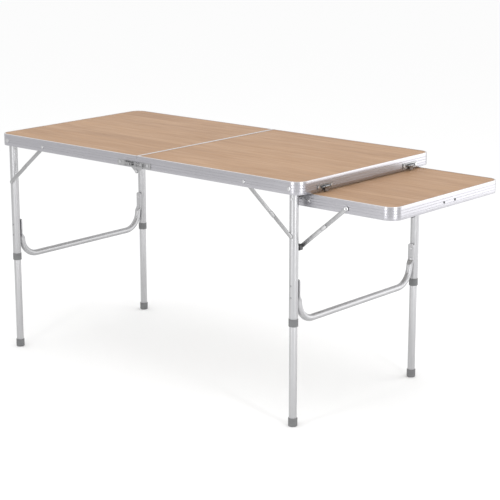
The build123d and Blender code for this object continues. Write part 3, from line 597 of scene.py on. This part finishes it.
for name, side in SIDES.items():
    x = seam + side * leg_x
    frame_body = f"{name}_leg_frame"
    for depth_name, depth in DEPTHS.items():
        corner = f"{depth_name}_{name}"
        axis_point = (x, depth * leg_y, 0)
        make_piece(f"{corner}_outer_tube", frame_body, tube,
                   [turned(tube_profile(leg_radius, leg_bore, upper_tube_low, upper_tube_high),
                           axis_point, joined=True, steps=64)], [f"{corner}_upper_leg"])
        make_piece(f"{corner}_inner_tube", f"{corner}_lower_leg", inner_tube,
                   [turned(tube_profile(lower_radius, lower_bore, lower_tube_low, lower_tube_high),
                           axis_point, joined=True, steps=64)], [f"{corner}_lower_leg"])
        make_piece(f"{corner}_twist_collar", f"{corner}_collar", grey_plastic,
                   [turned(collar_rings, axis_point, joined=True, steps=144, ribs=ribbed_collar)],
                   [f"{corner}_collar"])
        make_piece(f"{corner}_rubber_foot", f"{corner}_lower_leg", grey_plastic,
                   [turned(foot_rings, axis_point, steps=120, ribs=ribbed_foot)],
                   [f"{corner}_foot"])

    make_piece(f"{name}_bent_bar", frame_body, tube, [shell(bar_rings(x))],
               [f"{name}_crossbar"])

    heads, tails = [], []
    for depth in DEPTHS.values():
        for z in rivet_heights:
            start = leg_inner - 5 * MM
            heads.append(dome(4.5 * MM, 1.6 * MM, (x, depth * start, z), (0, -depth, 0)))
            tails.append(dome(3.4 * MM, 0.7 * MM, (x, depth * (leg_outer - 0.35 * MM), z),
                              (0, depth, 0)))
        heads.append(turned([(2.45 * MM, -3 * MM), (2.45 * MM, 3.0 * MM), (2.1 * MM, 3.2 * MM)],
                            (x, depth * (leg_outer - 1.45 * MM), stay_leg[1]), (0, depth, 0), 24))
    make_piece(f"{name}_frame_rivet_heads", frame_body, rivet, heads,
               [f"{name}_frame_rivets"])
    make_piece(f"{name}_frame_rivet_tails", frame_body, latch_steel, tails)

    softened(f"{name}_pivot_bushes", black_plastic, 0.4 * MM)
    softened(f"{name}_leg_plugs", grey_plastic, 0.2 * MM)

    # elbow stays
    rail_point = (side * stay_rail[0], stay_rail[1])
    leg_point = (side * stay_leg[0], stay_leg[1])
    full = hypot(leg_point[0] - rail_point[0], leg_point[1] - rail_point[1])
    elbow = tuple(a + (b - a) * stay_upper_length / full for a, b in zip(rail_point, leg_point))
    upper = [bar(rail_point, elbow, upper_stay_y, d, elbow_tab) for d in DEPTHS.values()]
    upper += [dome(4.0 * MM, 1.3 * MM,
                   (seam + elbow[0], d * (upper_stay_y + stay_thickness), elbow[1]), (0, d, 0))
              for d in DEPTHS.values()]
    make_piece(f"{name}_upper_stay_bars", f"{name}_upper_stays", steel, upper,
               [f"{name}_upper_stays"])
    lower = [bar(leg_point, elbow, lower_stay_y, d) for d in DEPTHS.values()]
    make_piece(f"{name}_lower_stay_bars", f"{name}_lower_stays", steel, lower,
               [f"{name}_lower_stays"])

    # pivot bolts and stay pins: domed heads outside the rim
    bolts = []
    for depth in DEPTHS.values():
        out = (0, depth, 0)
        inner = leg_inner - 4.5 * MM
        bolts.append(turned([(4 * MM, 3.9 * MM), (4 * MM, half_width - inner)],
                            (x, depth * inner, pivot_z), out, 32))
        bolts.append(turned(np.array([(3.2, 0.0), (5.6, 0.1), (6, 0.5), (6, 3.6), (5.6, 4.0),
                                      (4.0, 4.0)]) * MM, (x, depth * inner, pivot_z), out, 6))
        bolts.append(dome(6.5 * MM, 2.2 * MM, (x, depth * half_width, pivot_z), out, 36))
    make_piece(f"{name}_pivot_bolt_set", f"{name}_half", rivet, bolts,
               [f"{name}_pivot_bolts"])
    pins = []
    for depth in DEPTHS.values():
        out = (0, depth, 0)
        base = (seam + rail_point[0], depth * upper_stay_y, rail_point[1])
        shoulder = stay_thickness + 0.3 * MM
        pins.append(turned([(3 * MM, 0), (3 * MM, half_width - upper_stay_y)], base, out, 32))
        pins.append(turned([(5 * MM, shoulder), (5 * MM, half_width - upper_stay_y - rim_wall)],
                           base, out, 32))
        pins.append(dome(5 * MM, 1.8 * MM, (base[0], depth * half_width, base[2]), out, 32))
    make_piece(f"{name}_stay_pin_set", f"{name}_half", rivet, pins, [f"{name}_stay_pins"])

# ---------------------------------------------------------------- drop leaf
path, outward = rim_route(1, leaf_near, leaf_end, leaf_half_width)


def leaf_rail_rings():
    """The rim's section along the leaf. Towards its two inner ends the section is squeezed under a
    circle about the pivot, so that the tails are rounded."""
    reach = np.linspace(leaf_near, leg_x, 10)
    section = rim_section(leaf_top)
    ends_path = np.stack([seam + reach, np.full(10, -leaf_half_width), np.zeros(10)], axis=1)
    full_path = np.concatenate([ends_path, path[1:-1], ends_path[::-1] * (1, -1, 1)])
    directions = np.concatenate([np.tile((0.0, -1.0, 0.0), (10, 1)), outward[1:-1],
                                 np.tile((0.0, 1.0, 0.0), (10, 1))])
    away = np.clip(leg_x - (full_path[:, 0] - seam), 0, leaf_tail_radius * 0.98)
    ceiling = leaf_pivot_z + np.sqrt(leaf_tail_radius ** 2 - away ** 2)
    ceiling = np.where(full_path[:, 0] - seam < leg_x - 1e-6, ceiling, leaf_top)
    rings = full_path[:, None, :] + section[None, :, :1] * directions[:, None, :]
    rings[..., 2] = np.minimum(section[None, :, 1], ceiling[:, None])
    return rings


# the leaf rail's lip gets the same painted highlight
paint_lip_highlight(make_piece("leaf_rail", "leaf", rail, [shell(leaf_rail_rings())], ["leaf_rim"],
                      sharp=28), leaf_top)
softened("leaf_inner_channel", rail, 0.25 * MM)
softened("leaf_stay_brackets", black_plastic, 0.6 * MM)

pieces, stops = [], []
for depth in DEPTHS.values():
    out = (0, depth, 0)
    pieces.append(dome(3.5 * MM, 1.4 * MM,
                       (seam + leg_x + 25 * MM, depth * leaf_half_width, 633 * MM), out))
    stops.append(dome(3.5 * MM, 1.4 * MM, (seam + leaf_end, depth * 26 * MM, leaf_top - 21 * MM),
                      (1, 0, 0)))
    pin = (seam + leaf_stay_rail[0], depth * (leaf_half_width - rim_wall), leaf_stay_rail[1])
    outer = leaf_upper_y + stay_thickness + 0.1 * MM - leaf_half_width + rim_wall
    pieces.append(turned([(3 * MM, -1 * MM), (3 * MM, outer)], pin, out, 32))
    pieces.append(turned([(4.5 * MM, -1.2 * MM), (4.5 * MM, 0)], pin, out, 32))
    pieces.append(turned(np.array([(6.5, 0), (6.5, 1.1), (6.1, 1.7), (5.2, 2.0), (4.4, 1.7),
                                   (1.2, 1.5)]) * MM,
                         (pin[0], pin[1] + depth * outer, pin[2]), out, 36))
make_piece("leaf_rivet_heads", "leaf", rivet, pieces, ["leaf_rivets"])
make_piece("leaf_end_studs", "leaf", black_plastic, stops)

pieces = []
for depth in DEPTHS.values():
    out = (0, depth, 0)
    start = leaf_half_width - 5.1 * MM
    pieces.append(turned([(3 * MM, 0), (3 * MM, leg_outer - start)],
                         (seam + leg_x, depth * start, leaf_pivot_z), out, 32))
    pieces.append(turned(np.array([(3.3, 0), (3.9, 0.3), (4, 0.6), (4, 3.2), (3.8, 3.5)]) * MM,
                         (seam + leg_x, depth * start, leaf_pivot_z), out, 24))
    pieces.append(turned(np.array([(5.2, 0), (5.5, 0.3), (5.5, 16.9), (5.2, 17.2)]) * MM,
                         (seam + leg_x, depth * (leaf_half_width + 0.3 * MM), leaf_pivot_z),
                         out, 36))
    pieces.append(dome(4.5 * MM, 1.7 * MM,
                       (seam + leg_x, depth * (leg_outer - 0.2 * MM), leaf_pivot_z), out))
make_piece("leaf_pivot_bolt_set", "right_leg_frame", rivet, pieces, ["leaf_pivot_bolts"])

full = hypot(leaf_stay_leg[0] - leaf_stay_rail[0], leaf_stay_leg[1] - leaf_stay_rail[1])
leaf_elbow = tuple(a + (b - a) * leaf_upper_length / full
                   for a, b in zip(leaf_stay_rail, leaf_stay_leg))
make_piece("leaf_upper_stay_bars", "leaf_upper_stays", steel,
           [bar(leaf_stay_rail, leaf_elbow, leaf_upper_y, d) for d in DEPTHS.values()],
           ["leaf_upper_stays"])
make_piece("leaf_lower_stay_bars", "leaf_lower_stays", steel,
           [bar(leaf_stay_leg, leaf_elbow, leaf_lower_y, d, elbow_tab) for d in DEPTHS.values()]
           + [dome(4.0 * MM, 1.4 * MM,
                   (seam + leaf_elbow[0], d * (leaf_lower_y + stay_thickness), leaf_elbow[1]),
                   (0, d, 0)) for d in DEPTHS.values()],
           ["leaf_lower_stays"])

# ---------------------------------------------------------------- hinges and latches
for node in ("left_hinge_plates", "right_hinge_plates", "end_latch_plates", "end_catches",
             "seam_latch_base", "seam_latch_keeper", "front_end_hook", "back_end_hook"):
    softened(node, latch_steel if "latch" in node or "hook" in node else steel, 0.3 * MM)
for node in ("left_hinge_rivets", "right_hinge_rivets", "hinge_pins", "end_latch_pins"):
    softened(node, rivet, 0.5 * MM)


def coil(start, length, turns=5.5, radius=2.25 * MM, wire_radius=0.4 * MM, steps=24):
    """A helix along Y about the latch pin: at turn t the point is radius times (cos t, sin t) off
    the pin, and its place along Y goes evenly from the start to the end of the length."""
    turn = np.linspace(0, 2 * pi * turns, int(steps * turns))
    outward = np.stack([np.cos(turn), 0 * turn, np.sin(turn)], axis=1)
    path = radius * outward + np.stack(
        [0 * turn + seam + hook_x,
         start + wire_radius + (length - 2 * wire_radius) * turn / turn[-1],
         0 * turn + hook_z], axis=1)
    return wire(wire_radius, path, outward, sides=10)


make_piece("latch_coil_springs", "right_half", spring_steel,
           [coil(d * latch_y + start * MM, 4.7 * MM)
            for d in DEPTHS.values() for start in (-14, 9.3)],
           ["end_latch_springs"])

loop_low, loop_high = seam - 26 * MM, seam + 20 * MM
loop_y = seam_latch_y - 2.2 * MM - 0.9 * MM
loop_outline = rounded([(loop_low + 1 * MM, -3.8 * MM), (loop_high - 1 * MM, -3.8 * MM),
                        (loop_high - 1 * MM, 3.8 * MM), (loop_low + 1 * MM, 3.8 * MM)], 2.6 * MM, 8)
loop_path = np.stack([loop_outline[:, 0], np.full(len(loop_outline), loop_y),
                      seam_latch_z + loop_outline[:, 1]], axis=1)
loop_out = np.tile((0.0, -1.0, 0.0), (len(loop_path), 1))
lever_base = (seam + seam_latch_x, seam_latch_y, seam_latch_z - 4.9 * MM)
barrel = turned(np.array([(1.25, 0), (2.1, 0), (2.4, 0.3), (2.4, 9.5), (2.1, 9.8),
                          (1.25, 9.8)]) * MM, lever_base, joined=True, steps=32)
plate_route = np.linspace(0, 1, 12)
plate_x = seam + seam_latch_x + plate_route * 28 * MM
plate_lift = -(1.3 * MM) * np.clip((plate_route - 0.75) / 0.25, 0, 1) ** 2
plate_path = np.stack([plate_x, seam_latch_y - 1.55 * MM + plate_lift,
                       np.full(12, seam_latch_z)], axis=1)
lever_plate = swept(rounded([(-0.65 * MM, -4.9 * MM), (0.65 * MM, -4.9 * MM),
                             (0.65 * MM, 4.9 * MM), (-0.65 * MM, 4.9 * MM)], 0.35 * MM, 3),
                    plate_path, np.tile((0.0, -1.0, 0.0), (12, 1)))
make_piece("seam_latch_lever_and_loop", "seam_latch_lever", latch_steel,
           [barrel, lever_plate, wire(1.0 * MM, loop_path, loop_out, joined=True)],
           ["seam_latch_lever"])

# ---------------------------------------------------------------- camera, floor and light
camera_data = bpy.data.cameras.new("camera")
camera_data.sensor_width = 36
camera_data.lens = 112.98
camera = bpy.data.objects.new("camera", camera_data)
camera.location = (3.0057, -3.4494, 1.5124)
camera.rotation_euler = (radians(90 - 13.944), 0, radians(40.774))
bpy.context.scene.collection.objects.link(camera)
bpy.context.scene.camera = camera

floor_mesh = bpy.data.meshes.new("floor")
floor_mesh.from_pydata([(-60, -60, 0), (60, -60, 0), (60, 60, 0), (-60, 60, 0)], [], [(0, 1, 2, 3)])
floor = bpy.data.objects.new("floor", floor_mesh)
bpy.context.scene.collection.objects.link(floor)
floor_finish, _, floor_shader = finish("pale_floor")
floor_shader.inputs["Base Color"].default_value = (0.97, 0.97, 0.97, 1)
floor_shader.inputs["Roughness"].default_value = 0.9
floor_shader.inputs["Specular IOR Level"].default_value = 0.0
floor_mesh.materials.append(floor_finish)

world = bpy.data.worlds.new("studio")
bpy.context.scene.world = world
world.use_nodes = True
world.node_tree.nodes["Background"].inputs["Color"].default_value = (1, 1, 1, 1)
world.node_tree.nodes["Background"].inputs["Strength"].default_value = 1.0
bpy.context.scene.view_settings.view_transform = "Standard"


def soft_light(name, place, target, width, height, power):
    """An upright softbox that faces a target."""
    data = bpy.data.lights.new(name, "AREA")
    data.shape = "RECTANGLE"
    data.size, data.size_y = width, height
    data.energy = power
    lamp = bpy.data.objects.new(name, data)
    place, target = np.array(place, float), np.array(target, float)
    x, y, z = place - target
    lamp.location = place
    lamp.rotation_euler = (atan2(hypot(x, y), z), 0, atan2(y, x) + pi / 2)
    bpy.context.scene.collection.objects.link(lamp)


soft_light("end_softbox", (1.75, 1.75, 0.70), (0.45, 0, 0.67), 2.0, 1.3, 14)
soft_light("front_strip", (0.16, -2.48, 0.70), (0.45, -0.3, 0.67), 0.25, 1.3, 11)
soft_light("corner_strip", (2.59, -0.87, 0.70), (0.45, -0.3, 0.67), 0.25, 1.3, 14)
soft_light("top_softbox", (0.2, -0.6, 3.6), (0, 0, 0.5), 3.0, 3.0, 20)
